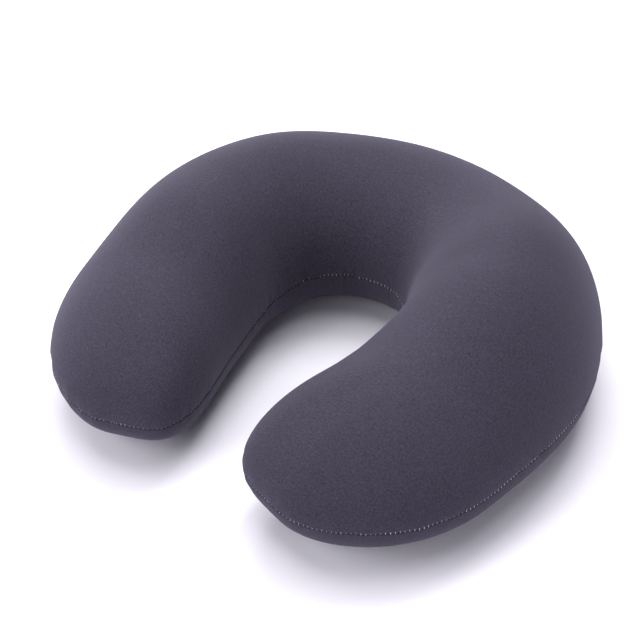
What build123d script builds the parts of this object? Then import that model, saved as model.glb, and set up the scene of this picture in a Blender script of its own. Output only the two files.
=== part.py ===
from build123d import *
import os
from math import cos, pi, radians, sin

# A travel neck pillow: a horseshoe of bead filling in an inner bag, inside a stretch-knit cover.
# Millimetres, +Z up. The pillow lies on its flat underside at Z = 0, the nape is at +Y and the
# arms reach towards -Y. The origin is the centre of the footprint.
# Its two arms flex open, so every layer is made as a nape piece and two arms, cut where they flex.

# ---- driving dimensions --------------------------------------------------------------------
NAPE_RADIUS = 90.0        # centre line behind the neck
NAPE_TURN = 103.0         # degrees of that arc on each side
ARM_RADIUS = 1500.0       # the arms run on almost straight
ARM_TURN = 4.7            # degrees of that arc, up to the very tip
HALF_WIDTH = 52.0         # half the roll's width behind the neck
OUTER_WIDENING = 8.0      # what the outer side gains towards the tip
INNER_NARROWING = 6.0     # what the inner side loses towards the tip
TIP_LENGTH = 86.0         # the last stretch of each arm, which closes in a rounded tip
OUTER_POWER = 1.95        # how square the tip's outer corner is: 2 is an ellipse
INNER_POWER = 4.0         # and its inner corner
TIP_SWEEP = 80.0          # degrees of the tip's rounding, short of 90, which leaves a small flat
SEAM_HEIGHT = 33.0        # the seam runs level all round the pillow at this height
NAPE_RISE = 52.0          # crest height above the seam behind the neck
ARM_RISE = 67.0           # crest height above the seam half way along each arm
TIP_RISE = 52.0           # crest height above the seam where the tip starts
CREST_LEAN = 2.0          # the crest lies this far from the middle, towards the neck
UNDERSIDE_FULLNESS = 1.10  # how far the underside would bulge if the floor did not flatten it

COVER_CLOTH = 0.8         # thickness of the stretch knit
COVER_ALLOWANCE = 7.0     # height of the seam allowances, turned up inside the top panel
LINER_CLOTH = 0.4         # thickness of the inner bag
LINER_ALLOWANCE = 5.0
OVERLOCK_DEPTH = 0.8      # thread bound over the raw edges
THREAD_GAP = 0.4          # the stitching holds the two panels this far apart
LAYER_GAP = 0.3           # air between the cover and the inner bag
FLEX_STATION = 155.0      # the arms flex this far along the centre line from the nape
FLEX_GAP = 0.3            # air between the nape piece and an arm

ROLL_SECTIONS = 9         # cross sections from the nape to the start of a tip
TIP_SECTIONS = 9          # cross sections round the tip
TOP_CUT = 300.0           # taller than the pillow

# ---- worked out from them ------------------------------------------------------------------
nape_length = NAPE_RADIUS * radians(NAPE_TURN)
arm_length = ARM_RADIUS * radians(ARM_TURN)
roll_length = nape_length + arm_length - TIP_LENGTH
crest_station = 0.66 * roll_length
taper_start = 0.4 * roll_length
half_length = roll_length + TIP_LENGTH


def ramp(value, start, end):
    """A smooth step from 0 at start to 1 at end."""
    t = min(max((value - start) / (end - start), 0.0), 1.0)
    return 0.5 - 0.5 * cos(pi * t)


def crest_rise(station):
    rise = NAPE_RISE + (ARM_RISE - NAPE_RISE) * ramp(station, 0, crest_station)
    return rise - (ARM_RISE - TIP_RISE) * ramp(station, crest_station, roll_length)


# ---- centre line, from the left tip round the nape to the right tip ------------------------
# A station is the distance along it from the middle of the nape, and is negative on the left.
def section_plane(station, nape_y):
    """The plane across the roll: local X points to the outside of the U and local Y points up."""
    with BuildLine():
        nape = JernArc((0, nape_y), (1, 0), NAPE_RADIUS, -NAPE_TURN)
        arm = JernArc(nape @ 1, nape % 1, ARM_RADIUS, -ARM_TURN)
    distance = abs(station)
    side = 1 if station >= 0 else -1
    if distance <= nape_length:
        edge, fraction = nape, distance / nape_length
    else:
        edge, fraction = arm, (distance - nape_length) / arm_length
    place = edge @ fraction
    heading = edge % fraction
    tangent = Vector(heading.X, side * heading.Y)
    outward = Vector(-tangent.Y, tangent.X)
    return Plane(origin=(side * place.X, place.Y), x_dir=outward, z_dir=tangent)


# ---- the whole filled pillow, set in from the outside of the cover -------------------------
def section_outline(outer, inner, rise, drop, lean):
    """The arcs of one cross section: over the crest from seam to seam, and back underneath."""
    crest = (-lean, SEAM_HEIGHT)
    EllipticalCenterArc(crest, outer + lean, rise, start_angle=0, arc_size=90)
    EllipticalCenterArc(crest, inner - lean, rise, start_angle=90, arc_size=90)
    EllipticalCenterArc(crest, inner - lean, drop, start_angle=180, arc_size=90)
    EllipticalCenterArc(crest, outer + lean, drop, start_angle=270, arc_size=90)


def tip_closing(along, power):
    """What is left of a half width at a share of the tip's length."""
    return (1 - along**power) ** (1 / power)


def cross_sections(inset):
    """Station, outer and inner half width, rise, drop and lean of each section on the right."""
    drop = SEAM_HEIGHT * UNDERSIDE_FULLNESS - inset
    sections = []
    for i in range(ROLL_SECTIONS):
        station = roll_length * i / ROLL_SECTIONS
        taper = ramp(station, taper_start, half_length)
        outer = HALF_WIDTH + OUTER_WIDENING * taper - inset
        inner = HALF_WIDTH - INNER_NARROWING * taper - inset
        sections.append((station, outer, inner, crest_rise(station) - inset, drop, CREST_LEAN))
    for i in range(TIP_SECTIONS):
        sweep = radians(TIP_SWEEP) * i / (TIP_SECTIONS - 1)
        along, height = sin(sweep), cos(sweep)
        station = roll_length + (TIP_LENGTH - inset) * along
        taper = ramp(station, taper_start, half_length)
        outer = (HALF_WIDTH + OUTER_WIDENING * taper - inset) * tip_closing(along, OUTER_POWER)
        inner = (HALF_WIDTH - INNER_NARROWING * taper - inset) * tip_closing(along, INNER_POWER)
        rise = (crest_rise(station) - inset) * height
        sections.append((station, outer, inner, rise, drop * height, CREST_LEAN * height))
    return sections


def filled_pillow(inset, nape_y):
    """The pillow as one solid: a roll lofted along the centre line, with a flat underside."""
    right_half = cross_sections(inset)
    left_half = [(-station, *sizes) for station, *sizes in reversed(right_half[1:])]
    with BuildPart() as pillow:
        for station, outer, inner, rise, drop, lean in left_half + right_half:
            with BuildSketch(section_plane(station, nape_y)):
                with BuildLine():
                    section_outline(outer, inner, rise, drop, lean)
                make_face()
        loft()
        split(bisect_by=Plane.XY.offset(inset), keep=Keep.TOP)
    return pillow.part


# The footprint is centred on the origin, so the nape's place follows from a trial pillow.
trial_box = filled_pillow(0, 0).bounding_box()
nape_y = -(trial_box.min.Y + trial_box.max.Y) / 2
flex_y = section_plane(FLEX_STATION, nape_y).origin.Y


def band(outer, inner, low, high):
    """The shell between two filled pillows, from one height to another."""
    with BuildPart() as ring:
        add(outer)
        add(inner, mode=Mode.SUBTRACT)
        split(bisect_by=Plane.XY.offset(low), keep=Keep.TOP)
        split(bisect_by=Plane.XY.offset(high), keep=Keep.BOTTOM)
    return ring.part


# ---- the layers of one sewn bag ------------------------------------------------------------
def bag_layers(name, inset, cloth, allowance):
    """Top panel, bottom panel, seam thread and overlock thread of a bag."""
    skin = filled_pillow(inset, nape_y)
    stitch_line = filled_pillow(inset + cloth / 2, nape_y)
    hem = filled_pillow(inset + cloth, nape_y)
    fold = filled_pillow(inset + 2 * cloth, nape_y)
    lining = filled_pillow(inset + 3 * cloth, nape_y)
    top_edge = SEAM_HEIGHT + THREAD_GAP / 2
    bottom_edge = SEAM_HEIGHT - THREAD_GAP / 2
    raw_edge = SEAM_HEIGHT + allowance

    with BuildPart() as top:
        add(band(skin, hem, top_edge, TOP_CUT))
        add(band(hem, fold, top_edge, raw_edge))

    with BuildPart() as bottom:
        add(band(skin, hem, 0, bottom_edge))
        add(band(hem, lining, bottom_edge - cloth, bottom_edge))
        add(band(fold, lining, bottom_edge, raw_edge))

    with BuildPart() as thread:
        add(band(stitch_line, fold, bottom_edge, top_edge))

    with BuildPart() as overlock:
        add(band(hem, lining, raw_edge, raw_edge + OVERLOCK_DEPTH))

    return {
        f"{name}_top_panel": top.part,
        f"{name}_bottom_panel": bottom.part,
        f"{name}_seam_thread": thread.part,
        f"{name}_overlock_thread": overlock.part,
    }


cover_inset = 0.0
liner_inset = 3 * COVER_CLOTH + LAYER_GAP
filling_inset = liner_inset + 3 * LINER_CLOTH

layers = {}
layers.update(bag_layers("cover", cover_inset, COVER_CLOTH, COVER_ALLOWANCE))
layers.update(bag_layers("liner", liner_inset, LINER_CLOTH, LINER_ALLOWANCE))

# The loose beads, as one soft body that fills the inner bag.
with BuildPart() as bead_filling:
    add(filled_pillow(filling_inset, nape_y))
layers["bead_filling"] = bead_filling.part

# ---- cut every layer where the arms flex, and write its three pieces -----------------------
behind_the_flex = Plane(origin=(0, flex_y + FLEX_GAP / 2, 0), z_dir=(0, 1, 0))
before_the_flex = Plane(origin=(0, flex_y - FLEX_GAP / 2, 0), z_dir=(0, -1, 0))

os.makedirs("parts", exist_ok=True)
for layer_name, layer in layers.items():
    with BuildPart() as nape_piece:
        add(layer)
        split(bisect_by=behind_the_flex, keep=Keep.TOP)

    with BuildPart() as left_arm:
        add(layer)
        split(bisect_by=before_the_flex, keep=Keep.TOP)
        split(bisect_by=Plane.YZ, keep=Keep.BOTTOM)

    with BuildPart() as right_arm:
        add(layer)
        split(bisect_by=before_the_flex, keep=Keep.TOP)
        split(bisect_by=Plane.YZ, keep=Keep.TOP)

    for place, piece in (("nape", nape_piece), ("left_arm", left_arm), ("right_arm", right_arm)):
        piece.part.label = f"{layer_name}_{place}"
        export_step(piece.part, f"parts/{layer_name}_{place}.step")
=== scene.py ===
"""Looks of a U-shaped travel neck pillow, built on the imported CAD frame.

Sizes of the pillow are in mm, and those of the floor, the lights and the camera in metres.
"""

import math

import bmesh
import bpy
import numpy as np
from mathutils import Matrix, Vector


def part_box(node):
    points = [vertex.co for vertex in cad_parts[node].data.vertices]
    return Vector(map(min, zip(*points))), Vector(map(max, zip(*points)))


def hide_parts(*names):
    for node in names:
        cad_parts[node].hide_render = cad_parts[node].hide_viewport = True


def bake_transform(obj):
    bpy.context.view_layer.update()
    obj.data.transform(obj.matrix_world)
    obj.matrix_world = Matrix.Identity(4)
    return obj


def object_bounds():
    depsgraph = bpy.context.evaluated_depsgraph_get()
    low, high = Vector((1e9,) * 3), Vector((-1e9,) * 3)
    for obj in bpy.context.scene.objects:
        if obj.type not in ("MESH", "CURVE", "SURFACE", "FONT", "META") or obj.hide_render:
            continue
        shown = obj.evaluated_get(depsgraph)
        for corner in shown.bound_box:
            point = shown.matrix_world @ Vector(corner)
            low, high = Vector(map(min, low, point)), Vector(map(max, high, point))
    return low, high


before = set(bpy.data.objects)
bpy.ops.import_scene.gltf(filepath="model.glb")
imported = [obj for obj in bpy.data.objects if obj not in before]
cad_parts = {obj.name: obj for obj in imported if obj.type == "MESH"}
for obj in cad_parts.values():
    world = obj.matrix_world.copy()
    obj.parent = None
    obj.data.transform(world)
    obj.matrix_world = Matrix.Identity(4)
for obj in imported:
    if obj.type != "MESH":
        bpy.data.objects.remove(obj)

cad_low, cad_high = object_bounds()

MM = 0.001
SIDES = {"left": -1, "right": 1}

# ---------------------------------------------------------------------------
# Sizes read from the frame
# ---------------------------------------------------------------------------
seam_low, seam_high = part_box("cover_seam_thread_nape")
liner_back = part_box("liner_top_panel_nape")[1].y
filling_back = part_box("bead_filling_nape")[1].y
SEAM_HEIGHT = (seam_low.z + seam_high.z) / 2 / MM
LINER_INSET = (cad_high.y - liner_back) / MM
FILLING_INSET = (cad_high.y - filling_back) / MM

# The centre line of the roll: a nape arc that eases into an almost straight arm on each side.
# Here and below, a bias is what the right arm has more, and the left arm less
CAD_HALF_WIDTH = 52.0
NAPE_Y = cad_high.y / MM - CAD_HALF_WIDTH
NAPE_RADIUS = 90.3
NAPE_TURN = math.radians(103.7)
TURN_EASE = 8.0
ARM_RADIUS = 1580.0
ARM_RADIUS_BIAS = 340.0
HALF_LENGTH = 284.8
HALF_LENGTH_BIAS = -1.3
TIP_LENGTH = 86.7
CURVE_STEP = 0.25
CURVE_SPARE = 20.0

# The cross section, at the nape and along the arms. A rise is the crest's height over the seam.
# CREST_AT and the shares count along the roll's length, and CREST_END along the tip's
NAPE_HALF_WIDTH = 52.0
ARM_HALF_WIDTH = 52.8
ARM_HALF_WIDTH_BIAS = 1.4
OUTER_WIDENING = 8.3
INNER_NARROWING = 6.2
NAPE_RISE = 52.5
ARM_RISE = 67.1
ARM_RISE_BIAS = 3.1
TIP_RISE = 48.8
CREST_AT = 0.657
CREST_AT_BIAS = -0.07
CREST_END = 0.301
CREST_LEAN = 1.9
UNDERSIDE_DROP = 36.2
UNDERSIDE_FADE = 2.7
FLOOR_ROUNDING = 3.0
NAPE_SHARE = 0.5
TAPER_START_SHARE = 0.4
FADE_START_SHARE = 0.6

# How round it is: 2 makes the tip an ellipse seen from above, and more makes it squarer; 1 makes
# the cross section an ellipse, and less makes it fuller. A swell is the bulge over the seam
TIP_OUTER_POWER = 1.93
TIP_INNER_POWER = 4.08
TOP_OUTER_POWER = 1.163
TOP_INNER_POWER = 0.987
UNDERSIDE_POWER = 0.857
OUTER_SWELL = 1.86
INNER_SWELL = 1.57
SWELL_REACH = 0.55
FULL_SWELL_HALF_WIDTH = 55.0
FULL_LEAN_RISE = 60.0

# How uneven it is. A wave repeats after 2 pi times its number in mm; a reach is an angle up from
# the seam, in radians. The middle of the nape is calm, so that the two halves meet there
HOLLOW_DEPTH = 0.45
HOLLOW_WAVES = (13.0, 41.0)
GATHER_DEPTH = 0.42
GATHER_WAVES = (1.25, 2.1)
GATHER_PATCHES = (17.0, 29.0)
GATHER_REACH = 0.14
SEAM_WANDER = 0.45
WANDER_WAVES = (6.1, 17.0, 23.0)
WANDER_REACH = 0.3
CALM_LENGTH = 15.0
TIP_TURN_RADIUS = 45.0

# Cloth, seams and thread. A lip is the round edge of a panel where it turns in at the seam, and
# an allowance is pressed to a share of its cloth's thickness
COVER_CLOTH = 0.8
LINER_CLOTH = 0.4
COVER_ALLOWANCE = 7.0
LINER_ALLOWANCE = 5.0
PRESSED_SHARE = 0.8
LIP_RADIUS = 0.95
LINER_LIP_RADIUS = 0.3
STITCH_PITCH = 2.45
THREAD_RADIUS = 0.23


def smooth(t):
    """0 before 0, 1 after 1, with no kink at either end."""
    t = np.clip(t, 0, 1)
    return t**3 * (6 * t * t - 15 * t + 10)


def centre_curve(side):
    """Run, place and heading at short steps along one half's centre line."""
    radius = ARM_RADIUS + side * ARM_RADIUS_BIAS
    run = np.arange(0, HALF_LENGTH + CURVE_SPARE, CURVE_STEP)
    short = (NAPE_RADIUS * NAPE_TURN - run) / TURN_EASE
    on_nape = NAPE_RADIUS * NAPE_TURN - TURN_EASE * np.logaddexp(0, short)
    turn = on_nape / NAPE_RADIUS + (run - on_nape) / radius
    turn = turn - turn[0]
    middle = (turn[1:] + turn[:-1]) / 2
    x = np.concatenate([[0], np.cumsum(np.cos(middle))]) * CURVE_STEP
    y = np.concatenate([[0], np.cumsum(-np.sin(middle))]) * CURVE_STEP
    return run, x, NAPE_Y + y, turn


CENTRE_CURVES = {side: centre_curve(side) for side in SIDES.values()}


def centre_line(run, side):
    """Place and heading of the centre line, run mm from the nape along one arm."""
    known, x, y, turn = CENTRE_CURVES[side]
    return np.interp(run, known, x), np.interp(run, known, y), np.interp(run, known, turn)


def roll_length(side):
    """The length of one half before its tip starts to close."""
    return HALF_LENGTH + side * HALF_LENGTH_BIAS - TIP_LENGTH


def seam_walk_length(run, fan):
    """A length that changes about 1 mm for each mm of seam, along the roll and round its tip."""
    return run + TIP_TURN_RADIUS * (math.pi / 2 - fan)


def near_seam(run, tilt, reach):
    """1 at the seam, fading out up and down over a reach, and towards the middle of the nape."""
    return np.exp(-((tilt / reach) ** 2)) * smooth(run / CALM_LENGTH)


def unevenness(side, run, fan, tilt, along, sideways):
    """How far in mm the skin sinks: slight hollows in the filling, and gathers at the seam."""
    station = run + TIP_LENGTH * along
    hollows = np.cos(station / HOLLOW_WAVES[0] + 0.4 * side * smooth(station / 60))
    hollows = hollows * np.cos(2.6 * sideways + station / HOLLOW_WAVES[1])
    walk = seam_walk_length(run, fan)
    gathers = np.sin(walk / GATHER_WAVES[0]) + 0.6 * np.sin(walk / GATHER_WAVES[1] + side)
    patches = np.sin(walk / GATHER_PATCHES[0]) * np.sin(walk / GATHER_PATCHES[1] + side)
    gathers = gathers * (0.5 + 0.5 * patches) * near_seam(run, tilt, GATHER_REACH)
    return HOLLOW_DEPTH * hollows + GATHER_DEPTH * gathers


def seam_wander(side, run, fan, tilt):
    """How far in mm the seam and the cloth beside it stray up or down."""
    walk = seam_walk_length(run, fan)
    stray = np.sin(walk / WANDER_WAVES[0] + side) * np.sin(walk / WANDER_WAVES[1])
    stray = stray + 0.8 * np.sin(walk / WANDER_WAVES[2] + 2 * side)
    return SEAM_WANDER * stray * near_seam(run, tilt, WANDER_REACH)


def skin_point(side, run, fan, tilt, inset, face):
    """A point of the pillow's skin, inset mm under its surface.

    run is the place along the roll and fan turns the ray from straight outwards (90 degrees)
    over the rounded end (0) to straight inwards (-90). tilt climbs the ray, from the seam (0)
    to the crest, or to the keel of the underside (90 degrees).
    """
    length = roll_length(side)
    power = np.where(fan > 0, TIP_OUTER_POWER, TIP_INNER_POWER)
    ahead = np.clip(np.cos(fan), 0, 1) ** (2 / power)
    across = np.sign(fan) * np.abs(np.sin(fan)) ** (2 / power)
    inward = (1 - across) / 2
    reach = np.cos(tilt)
    uneven = unevenness(side, run, fan, tilt, ahead * reach, across * reach)
    inset = inset + uneven * (1 if face == "top" else reach**4)
    station = run + (TIP_LENGTH - inset) * ahead * reach
    arm = smooth(station / (NAPE_SHARE * length))
    half_width = NAPE_HALF_WIDTH - inset
    half_width = half_width + arm * (ARM_HALF_WIDTH + side * ARM_HALF_WIDTH_BIAS - NAPE_HALF_WIDTH)
    narrowing = (INNER_NARROWING + OUTER_WIDENING) * inward - OUTER_WIDENING
    taper_start = TAPER_START_SHARE * length
    taper = smooth((station - taper_start) / (length - taper_start + TIP_LENGTH))
    half_width = half_width - narrowing * taper
    out = half_width * across * reach
    if face == "top":
        crest = (CREST_AT + side * CREST_AT_BIAS) * length
        rise_arm = ARM_RISE + side * ARM_RISE_BIAS
        fall = smooth((station - crest) / (length - crest + CREST_END * TIP_LENGTH))
        rise = NAPE_RISE + (rise_arm - NAPE_RISE) * smooth(station / crest)
        rise = rise - (rise_arm - TIP_RISE) * fall - inset
        climb = np.sin(tilt) ** (TOP_OUTER_POWER + (TOP_INNER_POWER - TOP_OUTER_POWER) * inward)
        swell = np.sin(2 * tilt) * np.exp(-((tilt / SWELL_REACH) ** 2))
        swell = swell * (OUTER_SWELL + (INNER_SWELL - OUTER_SWELL) * inward)
        out = out + across * swell * half_width / FULL_SWELL_HALF_WIDTH
        out = out - CREST_LEAN * rise / FULL_LEAN_RISE * climb
        station = station + swell * ahead
        z = SEAM_HEIGHT + rise * climb
    else:
        fade_start = FADE_START_SHARE * length
        fade = UNDERSIDE_FADE * smooth((station - fade_start) / (length - fade_start + TIP_LENGTH))
        drop = (UNDERSIDE_DROP - fade - inset) * np.sin(tilt) ** UNDERSIDE_POWER
        limit = SEAM_HEIGHT - inset
        round_off = np.clip(FLOOR_ROUNDING - np.abs(drop - limit), 0, None) ** 2
        z = SEAM_HEIGHT - np.minimum(drop, limit) + round_off / (4 * FLOOR_ROUNDING)
    z = z + seam_wander(side, run, fan, tilt)
    x, y, turn = centre_line(station, side)
    sideways = side * (x + np.sin(turn) * out)
    lengthways = y + np.cos(turn) * out
    return np.stack([sideways, lengthways, z], -1)


# ---------------------------------------------------------------------------
# Rays and rows: the grid that every panel is drawn on
# ---------------------------------------------------------------------------
# Distances up from the seam, in mm, of the rows of points beside it, close where the cloth turns in
SEAM_ROWS = np.array([0, 0.12, 0.26, 0.42, 0.6, 0.85, 1.2, 1.7, 2.4, 3.3, 4.5, 5.7, 7.0])
LIP_ROWS = 5
TILT_SAMPLES = 241
COARSE_SPACING = 40.0


def seam_rays(side, spacing, fan_step):
    """Rays round one half's seam: along the outside, round the tip, and back inside."""
    length = roll_length(side)
    count = int(round(length / spacing))
    out = np.linspace(0, length, count + 1)
    turns = np.radians(np.linspace(90, -90, int(round(180 / fan_step)) + 1))
    runs = np.concatenate([out, np.full(len(turns) - 2, length), out[::-1]])
    fans = np.concatenate([np.full(len(out), turns[0]), turns[1:-1], np.full(len(out), turns[-1])])
    return runs, fans


def row_tilts(side, runs, fans, face, seam_rows, spacing):
    """Tilts of the rows on each ray, from the seam up, and their distances from the seam."""
    fine = np.linspace(0, math.pi / 2, TILT_SAMPLES)
    points = skin_point(side, runs[:, None], fans[:, None], fine[None], 0, face)
    steps = np.linalg.norm(np.diff(points, axis=1), axis=2)
    reach = np.concatenate([np.zeros((len(runs), 1)), np.cumsum(steps, 1)], 1)
    rest = int(round((reach[:, -1].max() - seam_rows[-1]) / spacing))
    tilts = []
    distances = []
    for row in reach:
        upper = np.linspace(seam_rows[-1], row[-1], rest + 1)[1:]
        wanted = np.concatenate([seam_rows, upper])
        tilts.append(np.interp(wanted, row, fine))
        distances.append(wanted)
    return np.array(tilts), np.array(distances)


def lip(distance, radius):
    """How far the cloth turns in, at a distance from the seam."""
    short = np.clip(radius - distance, 0, radius)
    return radius - np.sqrt(radius**2 - short**2)


def flat_pattern(side, runs, fans, reach_from_crest):
    """Where each point lies on the cloth before sewing, for the direction of the knit."""
    x, y, turn = centre_line(runs, side)
    ease = 0.875 + 0.125 * np.sin(fans)
    along = np.stack([side * np.cos(turn), -np.sin(turn)], -1)
    out = np.stack([side * np.sin(turn), np.cos(turn)], -1)
    ray = np.cos(fans)[:, None] * along + np.sin(fans)[:, None] * out
    base = np.stack([side * x, y], -1)
    return base[:, None] + (ease[:, None] * reach_from_crest)[..., None] * ray[:, None]


# ---------------------------------------------------------------------------
# Mesh building
# ---------------------------------------------------------------------------
def grid_faces(first, rows, columns, flip):
    """Quads of a rows by columns grid whose vertices start at first."""
    faces = []
    for i in range(rows - 1):
        for k in range(columns - 1):
            a = first + i * columns + k
            quad = (a, a + 1, a + columns + 1, a + columns)
            faces.append(quad[::-1] if flip else quad)
    return faces


def new_piece(name, points, faces, flat=None, material=None):
    """A mesh piece from points in mm; coincident points are joined and its normals face out."""
    mesh = bpy.data.meshes.new(name)
    mesh.from_pydata((np.asarray(points) * MM).tolist(), [], faces)
    if flat is not None:
        layer = mesh.uv_layers.new(name="cloth")
        corner = np.zeros(len(mesh.loops), int)
        mesh.loops.foreach_get("vertex_index", corner)
        layer.data.foreach_set("uv", (np.asarray(flat)[corner] * MM).astype(np.float32).ravel())
    bm = bmesh.new()
    bm.from_mesh(mesh)
    bmesh.ops.remove_doubles(bm, verts=bm.verts, dist=0.004 * MM)
    bmesh.ops.dissolve_degenerate(bm, edges=bm.edges, dist=0.001 * MM)
    bmesh.ops.recalc_face_normals(bm, faces=bm.faces)
    bm.to_mesh(mesh)
    bm.free()
    mesh.polygons.foreach_set("use_smooth", [True] * len(mesh.polygons))
    piece = bpy.data.objects.new(name, mesh)
    bpy.context.scene.collection.objects.link(piece)
    if material is not None:
        mesh.materials.append(material)
    return piece


def level_middle_normals(piece):
    """Both halves get the same shading on the line where they meet."""
    mesh = piece.data
    normals = np.zeros(len(mesh.vertices) * 3, np.float32)
    mesh.vertex_normals.foreach_get("vector", normals)
    normals = normals.reshape(-1, 3)
    places = np.zeros(len(mesh.vertices) * 3, np.float32)
    mesh.vertices.foreach_get("co", places)
    middle = np.abs(places.reshape(-1, 3)[:, 0]) < 0.01 * MM
    normals[middle, 0] = 0
    normals /= np.maximum(np.linalg.norm(normals, axis=1, keepdims=True), 1e-9)
    mesh.normals_split_custom_set_from_vertices(normals.tolist())


def ladder(name, near, far, near_flat, material):
    """A thin closed panel between two rails of points, each rays by rows."""
    rays, rows = near.shape[:2]
    size = rays * rows
    points = np.concatenate([near.reshape(-1, 3), far.reshape(-1, 3)])
    flat = np.concatenate([near_flat.reshape(-1, 2)] * 2)
    faces = grid_faces(0, rays, rows, False) + grid_faces(size, rays, rows, True)
    for i in range(rays - 1):
        a = i * rows + rows - 1
        faces.append((a, a + rows, a + rows + size, a + size))
    for end in (0, (rays - 1) * rows):
        for k in range(rows - 1):
            a = end + k
            faces.append((a, a + 1, a + 1 + size, a + size))
    return new_piece(name, points, faces, flat, material)


# ---------------------------------------------------------------------------
# Panels, threads and filling
# ---------------------------------------------------------------------------
# Where an allowance lies under its panel, in mm
FOLD_START = 0.5
FOLD_SPARE = 0.1
FOLD_CLEARANCE = 0.15
FOLD_GAP = 0.05

# How far over the raw edges the overlock's loops reach, and how far down they bite
OVERLOCK_OVER = 0.3
OVERLOCK_BITE = 2.5
POINTS_PER_LOOP = 6
OVERLOCK_SIDES = 4
STITCH_SEED = 11


def panel(name, side, face, inset, cloth, allowance, lip_radius, spacing, fan_step, material):
    """One cloth panel of a bag, with its seam allowance turned up inside."""
    runs, fans = seam_rays(side, spacing, fan_step)
    tilts, distances = row_tilts(side, runs, fans, face, SEAM_ROWS, spacing)
    up = row_tilts(side, runs, fans, "top", SEAM_ROWS, spacing)[0]
    folded = np.flatnonzero((SEAM_ROWS > FOLD_START) & (SEAM_ROWS <= allowance + FOLD_SPARE))
    pressed = cloth * PRESSED_SHARE

    def skin(tilt, depth, on):
        return skin_point(side, runs[:, None], fans[:, None], tilt, depth, on)

    # The panel itself, from the crest or the keel to the seam: its outside, then its inside
    outside = skin(tilts[:, ::-1], inset + lip(distances[:, ::-1], lip_radius), face)
    inside_tilts = tilts.copy()
    inside_tilts[:, :LIP_ROWS] = tilts[:, LIP_ROWS : LIP_ROWS + 1]
    inside = skin(inside_tilts[:, ::-1], inset + cloth, face)

    # Its allowance, up from the seam. The top panel's lies outermost, with the bottom's behind it
    turn_tilts = np.concatenate([np.zeros((len(runs), 1)), up[:, folded]], 1)
    if face == "top":
        slot_inset = inset + cloth + FOLD_CLEARANCE
        near_fold = skin(turn_tilts, slot_inset + pressed, "top")
        far_tilts = turn_tilts.copy()
        far_tilts[:, 0] = up[:, folded[0]]
        far_fold = skin(far_tilts, slot_inset, "top")
    else:
        slot_inset = inset + cloth + FOLD_CLEARANCE + pressed + FOLD_GAP
        near_fold = skin(turn_tilts, slot_inset, "top")
        far_fold = skin(turn_tilts, slot_inset + pressed, "top")
        far_fold[:, 0, 2] -= cloth

    near = np.concatenate([outside, near_fold], 1)
    far = np.concatenate([inside, far_fold], 1)
    from_crest = distances[:, -1:] - distances[:, ::-1]
    folded_reach = distances[:, -1:] + np.concatenate([[0.0], SEAM_ROWS[folded]])[None]
    flat = flat_pattern(side, runs, fans, np.concatenate([from_crest, folded_reach], 1))
    piece = ladder(name, near, far, flat, material)
    level_middle_normals(piece)
    return piece


def filling(name, side, inset, spacing, fan_step, material):
    """The bead filling of one half, as the closed body that its liner holds."""
    runs, fans = seam_rays(side, spacing, fan_step)
    seam_rows = np.array([0, 2.0, 5.0])
    skins = []
    for face, order in (("top", -1), ("bottom", 1)):
        tilts = row_tilts(side, runs, fans, face, seam_rows, spacing)[0]
        points = skin_point(side, runs[:, None], fans[:, None], tilts[:, ::order], inset, face)
        skins.append(points if order < 0 else points[:, 1:])
    points = np.concatenate(skins, 1)
    rays, columns = points.shape[:2]
    faces = grid_faces(0, rays, columns, False)
    last = (rays - 1) * columns
    for k in range(columns - 1):
        faces.append((k + 1, k, last + k, last + k + 1))
    return new_piece(name, points.reshape(-1, 3), faces, points[..., :2].reshape(-1, 2), material)


def tubes(name, paths, radius, sides, material):
    """Thread along each path of points in mm, as closed tubes in one piece."""
    points, faces = [], []
    for path in paths:
        path = np.asarray(path, float)
        heading = np.gradient(path, axis=0)
        heading /= np.maximum(np.linalg.norm(heading, axis=1, keepdims=True), 1e-9)
        guide = np.where(np.abs(heading[:, 2:]) > 0.9, [[1.0, 0, 0]], [[0, 0, 1.0]])
        first = np.cross(heading, guide)
        first /= np.linalg.norm(first, axis=1, keepdims=True)
        second = np.cross(heading, first)
        start = len(points)
        for centre, a, b in zip(path, first, second):
            for j in range(sides):
                turn = 2 * math.pi * j / sides
                points.append(centre + radius * (math.cos(turn) * a + math.sin(turn) * b))
        count = len(path)
        for i in range(count - 1):
            for j in range(sides):
                k = (j + 1) % sides
                ring = start + i * sides
                faces.append((ring + j, ring + k, ring + sides + k, ring + sides + j))
        faces.append(tuple(start + j for j in range(sides)))
        faces.append(tuple(start + (count - 1) * sides + j for j in range(sides)))
    return new_piece(name, points, faces, np.asarray(points)[:, :2], material)


def seam_walk(side, pitch, inset):
    """Places one stitch apart along a half's seam: run, fan and distance walked."""
    runs, fans = seam_rays(side, 1.0, 1.0)
    points = skin_point(side, runs, fans, np.zeros(len(runs)), inset, "top")
    walked = np.concatenate([[0], np.cumsum(np.linalg.norm(np.diff(points, axis=0), axis=1))])
    count = int(walked[-1] / pitch)
    at = (np.arange(count) + 0.5) * walked[-1] / count
    index = np.interp(at, walked, np.arange(len(runs)))
    whole = np.clip(index.astype(int), 0, len(runs) - 2)
    part = index - whole

    def between(values):
        return values[whole] * (1 - part) + values[whole + 1] * part

    return between(runs), between(fans), at


def tilt_at(side, runs, fans, face, distance):
    """The tilt at a distance in mm from the seam."""
    return row_tilts(side, runs, fans, face, np.array([0.0, distance]), COARSE_SPACING)[0][:, 1]


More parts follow.
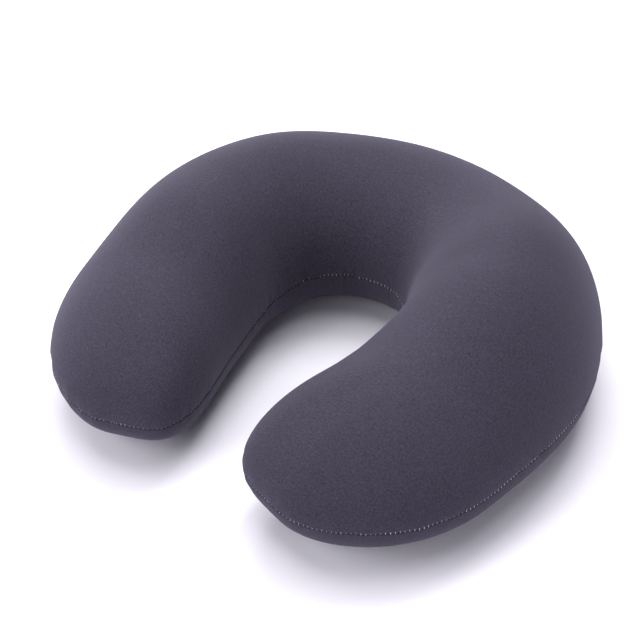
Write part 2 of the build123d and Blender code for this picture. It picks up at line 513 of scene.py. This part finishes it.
def strain(runs, fans):
    """How far the seam is pulled open, from 0 to 1: inside the nape and round each arm."""
    nape_end = 55.0
    arm_start = 100.0
    fade = 50.0
    straight_in = -1.5
    inner_nape = np.where(fans < straight_in, 1 - smooth((runs - nape_end) / fade), 0)
    tip = 0.45 * (runs > arm_start) * np.exp(-((fans / 0.9) ** 2))
    outer_arm = 0.8 * smooth((runs - arm_start) / fade) * smooth(fans / 1.4)
    return np.clip(inner_nape + tip + outer_arm, 0, 1)


def seam_stitches(name, side, inset, lip_radius, pitch, radius, material, sides=6):
    """The lockstitch that joins two panels: one tick across the groove at each stitch."""
    runs, fans, walked = seam_walk(side, pitch, inset)
    generator = np.random.default_rng(STITCH_SEED + side)
    wander = generator.normal(0, 0.12, len(runs))
    sinking = 0.3 * np.sin(walked / 9 + side) + 0.2 * np.sin(walked / 3.7) + 1.2 * wander
    open_seam = np.clip(strain(runs, fans) * (0.85 + sinking), 0, 1)
    level = np.zeros(len(runs))
    upper = tilt_at(side, runs, fans, "top", lip_radius * 1.25)
    lower = tilt_at(side, runs, fans, "bottom", lip_radius * 0.9)
    depth = 0.55 - 0.5 * open_seam + 0.15 * wander
    # The points that a stitch passes: tilt, how deep under the skin, and the face it lies on
    ticks = [
        (upper, inset + lip_radius * 1.3, "top"),
        (upper, inset + lip_radius * 0.05 + 0.35 * depth, "top"),
        (level, inset + lip_radius * depth, "top"),
        (lower, inset + lip_radius * 0.3 + 0.5 * depth, "bottom"),
        (lower, inset + lip_radius * 1.6, "bottom"),
    ]
    columns = [skin_point(side, runs, fans, tilt, deep, face) for tilt, deep, face in ticks]
    paths = np.stack(columns, 1)
    inner = skin_point(side, runs, fans, level, inset + lip_radius * 1.8, "top")
    return tubes(name, list(paths) + [inner], radius, sides, material)


def overlock(name, side, inset, cloth, allowance, pitch, radius, material):
    """Thread looped over the raw edges of the turned-up allowances."""
    runs, fans, walked = seam_walk(side, pitch / POINTS_PER_LOOP, inset)
    turns = walked / pitch * 2 * math.pi
    bundle = 2 * cloth * PRESSED_SHARE + 2 * FOLD_GAP
    middle = inset + cloth + FOLD_CLEARANCE + FOLD_GAP + bundle / 2
    depth = middle + (bundle / 2 + radius) * np.cos(turns)
    high = tilt_at(side, runs, fans, "top", allowance + OVERLOCK_OVER)
    low = tilt_at(side, runs, fans, "top", allowance - OVERLOCK_BITE)
    share = 0.5 + 0.5 * np.sin(turns)
    path = skin_point(side, runs, fans, low + (high - low) * share, depth, "top")
    return tubes(name, [path], radius, OVERLOCK_SIDES, material)


# ---------------------------------------------------------------------------
# Materials
# ---------------------------------------------------------------------------
def new_material(name):
    """A material, its node tree and its shader."""
    material = bpy.data.materials.new(name)
    material.use_nodes = True
    tree = material.node_tree
    return material, tree, tree.nodes["Principled BSDF"]


def add(tree, kind, settings=(), **inputs):
    """A node with its properties set, and its inputs either set or linked; i0 is the first."""
    node = tree.nodes.new(kind)
    for key, value in dict(settings).items():
        setattr(node, key, value)
    for key, value in inputs.items():
        numbered = key[0] == "i" and key[1:].isdigit()
        socket = node.inputs[int(key[1:]) if numbered else key]
        if isinstance(value, bpy.types.NodeSocket):
            tree.links.new(value, socket)
        else:
            socket.default_value = value
    return node


def math_node(tree, operation, a, b=0.0):
    """The result of one sum on two values."""
    return add(tree, "ShaderNodeMath", {"operation": operation}, i0=a, i1=b).outputs[0]


def noise(tree, place, scale, detail):
    """Soft random tones, about scale of them to the metre."""
    return add(tree, "ShaderNodeTexNoise", Vector=place, Scale=scale, Detail=detail).outputs[0]


def colour_between(tree, shader, share, at_start, at_end, start=0.0, end=1.0):
    """The shader's colour runs between two colours as the share runs from start to end."""
    ramp = add(tree, "ShaderNodeValToRGB", Fac=share)
    first, last = ramp.color_ramp.elements
    first.position = start
    first.color = (*at_start, 1)
    last.position = end
    last.color = (*at_end, 1)
    tree.links.new(ramp.outputs[0], shader.inputs["Base Color"])


def roughness_between(tree, shader, value, smoothest, roughest, start=0.0, end=1.0):
    """The shader's roughness follows a value that runs from start to end."""
    limits = {"From Min": start, "From Max": end, "To Min": smoothest, "To Max": roughest}
    rough = add(tree, "ShaderNodeMapRange", Value=value, **limits)
    tree.links.new(rough.outputs[0], shader.inputs["Roughness"])


def relief(tree, shader, height, depth, strength):
    """The shader's surface rises and falls with a height, by up to a depth in mm."""
    bump = add(tree, "ShaderNodeBump", Strength=strength, Distance=depth * MM, Height=height)
    tree.links.new(bump.outputs[0], shader.inputs["Normal"])


def knit_material(name, dark, light, wale, course, sheen, bump):
    """Stretch knit: fine wales and courses in mm, heathered yarn, and a soft nap."""
    material, tree, shader = new_material(name)
    where = add(tree, "ShaderNodeUVMap", {"uv_map": "cloth"}).outputs[0]
    split = add(tree, "ShaderNodeSeparateXYZ", i0=where)
    place = add(tree, "ShaderNodeTexCoord").outputs["Object"]
    push = math_node(tree, "MULTIPLY", noise(tree, place, 140.0, 2.0), 2.2)

    def ribs(axis, pitch):
        phase = math_node(tree, "MULTIPLY", split.outputs[axis], 2 * math.pi / (pitch * MM))
        return math_node(tree, "SINE", math_node(tree, "ADD", phase, push))

    wales = ribs(0, wale)
    courses = ribs(1, course)
    loops = math_node(tree, "MULTIPLY", wales, courses)
    both = math_node(tree, "ADD", math_node(tree, "MULTIPLY", wales, 0.45), loops)
    fuzz = noise(tree, place, 900.0, 3.0)
    heather = noise(tree, place, 1050.0, 2.0)
    cloud = noise(tree, place, 22.0, 3.0)

    share = math_node(tree, "ADD", math_node(tree, "MULTIPLY", both, 0.05), 0.5)
    for tones, weight in ((heather, 1.9), (cloud, 0.3)):
        share = math_node(tree, "ADD", share, math_node(tree, "MULTIPLY", tones, weight))
        share = math_node(tree, "SUBTRACT", share, weight / 2)
    colour_between(tree, shader, share, dark, light)
    roughness_between(tree, shader, heather, 0.78, 0.95, start=0.3, end=0.7)

    ribbing = math_node(tree, "MULTIPLY", both, 0.35)
    height = math_node(tree, "ADD", ribbing, math_node(tree, "MULTIPLY", fuzz, 2.4))
    relief(tree, shader, height, 0.12, bump)
    shader.inputs["Sheen Weight"].default_value = sheen
    shader.inputs["Sheen Roughness"].default_value = 0.45
    shader.inputs["Sheen Tint"].default_value = (0.80, 0.76, 1.0, 1)
    shader.inputs["Specular IOR Level"].default_value = 0.2
    return material


def thread_material(name, colour, twist):
    """Spun sewing thread, a little uneven in tone, with a ply twist in its relief."""
    material, tree, shader = new_material(name)
    place = add(tree, "ShaderNodeTexCoord").outputs["Object"]
    tone = noise(tree, place, 260.0, 3.0)
    shadow = [0.55 * channel for channel in colour]
    colour_between(tree, shader, tone, shadow, colour, start=0.3, end=0.7)
    diagonal = {"wave_type": "BANDS", "bands_direction": "DIAGONAL"}
    ply = add(tree, "ShaderNodeTexWave", diagonal, Vector=place, Scale=twist, Distortion=1.0)
    relief(tree, shader, ply.outputs[1], 0.05, 0.5)
    roughness_between(tree, shader, tone, 0.5, 0.8)
    shader.inputs["Sheen Weight"].default_value = 0.2
    return material


def bead_material(name):
    """Packed foam beads about 1 mm across, white, with painted shade that darkens each bead towards its
    edge and in the gaps between beads.
    """
    material, tree, shader = new_material(name)
    place = add(tree, "ShaderNodeTexCoord").outputs["Object"]
    cells = add(tree, "ShaderNodeTexVoronoi", Vector=place, Scale=950.0)
    from_middle = cells.outputs["Distance"]
    # Painted shade: the colour darkens from each cell's middle to its edge, where the beads meet and
    # shade would fall between them
    colour_between(tree, shader, from_middle, (0.86, 0.86, 0.84), (0.42, 0.42, 0.41))
    relief(tree, shader, math_node(tree, "SUBTRACT", 1.0, from_middle), 0.4, 0.8)
    roughness_between(tree, shader, from_middle, 0.5, 0.9)
    return material


COVER_KNIT = knit_material(
    "cover_knit",
    dark=(0.0215, 0.0181, 0.0296),
    light=(0.0585, 0.0505, 0.0790),
    wale=0.85,
    course=0.65,
    sheen=0.12,
    bump=0.8,
)
LINER_WEAVE = knit_material(
    "liner_cloth",
    dark=(0.52, 0.51, 0.49),
    light=(0.74, 0.73, 0.71),
    wale=0.5,
    course=0.5,
    sheen=0.1,
    bump=0.4,
)
SEAM_THREAD = thread_material("seam_thread", (0.54, 0.52, 0.57), 900.0)
OVERLOCK_THREAD = thread_material("overlock_thread", (0.16, 0.15, 0.18), 900.0)
LINER_THREAD = thread_material("liner_thread", (0.78, 0.77, 0.74), 900.0)
BEADS = bead_material("bead_filling")

# ---------------------------------------------------------------------------
# The pillow, one half at a time
# ---------------------------------------------------------------------------
FILLING_CLEARANCE = 0.6

# What the panels, the seam and the bound edges of each bag are made with, sizes in mm
BAGS = {
    "cover": {"inset": 0.0, "cloth": COVER_CLOTH, "allowance": COVER_ALLOWANCE},
    "liner": {"inset": LINER_INSET, "cloth": LINER_CLOTH, "allowance": LINER_ALLOWANCE},
}
PANELS = {
    "cover": {"lip_radius": LIP_RADIUS, "spacing": 2.4, "fan_step": 2.6, "material": COVER_KNIT},
    "liner": {"lip_radius": LINER_LIP_RADIUS, "spacing": 6.0, "fan_step": 6.0, "material": LINER_WEAVE},
}
SEAMS = {
    "cover": {
        "inset": 0.0,
        "lip_radius": LIP_RADIUS,
        "pitch": STITCH_PITCH,
        "radius": THREAD_RADIUS,
        "material": SEAM_THREAD,
    },
    "liner": {
        "inset": LINER_INSET,
        "lip_radius": LINER_LIP_RADIUS,
        "pitch": 3.2,
        "radius": 0.1,
        "material": LINER_THREAD,
        "sides": 4,
    },
}
OVERLOCKS = {
    "cover": {"pitch": 2.5, "radius": 0.1, "material": OVERLOCK_THREAD},
    "liner": {"pitch": 3.0, "radius": 0.08, "material": LINER_THREAD},
}
FILLING = {
    "inset": FILLING_INSET + FILLING_CLEARANCE,
    "spacing": 6.0,
    "fan_step": 6.0,
    "material": BEADS,
}


def finish_piece(piece, side_name, kind):
    """A finished piece has its placement baked into its mesh, and stands in for its CAD nodes, which
    are hidden.
    """
    arm = side_name + "_arm"
    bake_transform(piece)
    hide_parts(kind + "_nape", kind + "_" + arm)


def make_half(side_name, side):
    """Every piece on one side of the middle of the nape, from the cover in to the beads."""
    for bag, sewing in BAGS.items():
        for face in ("top", "bottom"):
            piece = panel(f"{bag}_{face}_{side_name}", side, face, **sewing, **PANELS[bag])
            kind = f"{bag}_{face}_panel"
            finish_piece(piece, side_name, kind)
    for bag, stitching in SEAMS.items():
        kind = f"{bag}_seam_thread"
        piece = seam_stitches(f"{kind}_{side_name}", side, **stitching)
        finish_piece(piece, side_name, kind)
    for bag, sewing in BAGS.items():
        kind = f"{bag}_overlock_thread"
        piece = overlock(f"{kind}_{side_name}", side, **sewing, **OVERLOCKS[bag])
        finish_piece(piece, side_name, kind)
    beads = filling(f"bead_filling_{side_name}", side, **FILLING)
    finish_piece(beads, side_name, "bead_filling")


for side_name, side in SIDES.items():
    make_half(side_name, side)

# ---------------------------------------------------------------------------
# Floor, light and camera
# ---------------------------------------------------------------------------
LIGHT_DISTANCE = 2.2
LIGHT_TARGET = (0, 0, 0.04)
LIGHTS = (
    # name, azimuth, elevation, size, watts
    ("back", -10, 60, 0.9, 26.0),
    ("back_left", -45, 42, 0.7, 13.0),
    ("rim", -60, 16, 0.6, 13.0),
    ("left_low", -90, 16, 0.6, 4.5),
    ("left_high", -90, 65, 1.2, 11.5),
    ("front_left", -145, 35, 1.2, 24.0),
    ("front", 175, 35, 1.2, 7.0),
    ("right", 100, 30, 1.0, 7.0),
    ("top", 0, 88, 1.6, 22.0),
)

VIEW_AZIMUTH = 35.74
VIEW_ELEVATION = 40.84
VIEW_DISTANCE = 0.988
VIEW_TARGET = (-0.00464, -0.0148, 0.04)
LENS = 100.5

FLOOR_RADIUS = 3.2
BACKDROP_SWEEP = 1.0
BACKDROP_HEIGHT = 2.6
FLOOR_SEGMENTS = 96
SWEEP_STEPS = 12


def floor_material():
    """Seamless matt paper, very slightly mottled."""
    material, tree, shader = new_material("studio_paper")
    place = add(tree, "ShaderNodeTexCoord").outputs["Object"]
    tone = noise(tree, place, 30.0, 4.0)
    colour_between(tree, shader, tone, (0.880, 0.860, 0.945), (0.900, 0.880, 0.960))
    shader.inputs["Roughness"].default_value = 0.9
    shader.inputs["Specular IOR Level"].default_value = 0.1
    return material


def level_ring(out, up):
    """Points of the floor, all as far out from its middle and as far up."""
    turns = [2 * math.pi * i / FLOOR_SEGMENTS for i in range(FLOOR_SEGMENTS)]
    return [(out * math.cos(turn), out * math.sin(turn), up) for turn in turns]


def make_floor():
    """A round floor whose rim sweeps up into a backdrop all round. Its sizes are in metres."""
    rings = []
    for bend in np.radians(np.linspace(0, 90, SWEEP_STEPS + 1)):
        out = FLOOR_RADIUS + BACKDROP_SWEEP * math.sin(bend)
        rings.append(level_ring(out, BACKDROP_SWEEP * (1 - math.cos(bend))))
    rings.append(level_ring(FLOOR_RADIUS + BACKDROP_SWEEP, BACKDROP_HEIGHT))
    points = [(0, 0, 0)]
    for ring in rings:
        points.extend(ring)
    faces = [(0, 1 + i, 1 + (i + 1) % FLOOR_SEGMENTS) for i in range(FLOOR_SEGMENTS)]
    for row in range(len(rings) - 1):
        first = 1 + row * FLOOR_SEGMENTS
        above = first + FLOOR_SEGMENTS
        for i in range(FLOOR_SEGMENTS):
            j = (i + 1) % FLOOR_SEGMENTS
            faces.append((first + i, above + i, above + j, first + j))
    mesh = bpy.data.meshes.new("floor")
    mesh.from_pydata(points, [], faces)
    mesh.polygons.foreach_set("use_smooth", [True] * len(mesh.polygons))
    floor = bpy.data.objects.new("floor", mesh)
    bpy.context.scene.collection.objects.link(floor)
    mesh.materials.append(floor_material())


def aim(thing, target):
    """Turns a light or camera to look at a point."""
    direction = target - np.array(thing.location)
    level = math.hypot(direction[0], direction[1])
    tilt = math.atan2(level, -direction[2])
    turn = math.atan2(direction[1], direction[0]) - math.pi / 2
    thing.rotation_euler = (tilt, 0, turn)


def softbox(name, azimuth, elevation, size, watts):
    """An area light aimed at the pillow. Azimuth 0 is behind the pillow, 90 on its right."""
    light = bpy.data.lights.new(name, "AREA")
    light.shape = "SQUARE"
    light.size = size
    light.energy = watts
    lamp = bpy.data.objects.new(name, light)
    bpy.context.scene.collection.objects.link(lamp)
    around = math.radians(azimuth)
    up = math.radians(elevation)
    lamp.location = (
        LIGHT_DISTANCE * math.sin(around) * math.cos(up),
        LIGHT_DISTANCE * math.cos(around) * math.cos(up),
        LIGHT_DISTANCE * math.sin(up),
    )
    aim(lamp, np.array(LIGHT_TARGET))


def make_camera():
    """The camera stands in front of the pillow, to its right, and looks down on it."""
    camera = bpy.data.cameras.new("camera")
    camera.sensor_width = 36
    camera.lens = LENS
    camera.clip_start = 0.05
    eye = bpy.data.objects.new("camera", camera)
    bpy.context.scene.collection.objects.link(eye)
    around = math.radians(VIEW_AZIMUTH)
    up = math.radians(VIEW_ELEVATION)
    back = np.array([math.sin(around) * math.cos(up), -math.cos(around) * math.cos(up), math.sin(up)])
    target = np.array(VIEW_TARGET)
    eye.location = target + VIEW_DISTANCE * back
    aim(eye, target)
    bpy.context.scene.camera = eye


make_floor()
for light in LIGHTS:
    softbox(*light)
world = bpy.data.worlds.new("studio")
world.use_nodes = True
world.node_tree.nodes["Background"].inputs["Strength"].default_value = 0
bpy.context.scene.world = world
bpy.context.scene.view_settings.view_transform = "Standard"
make_camera()
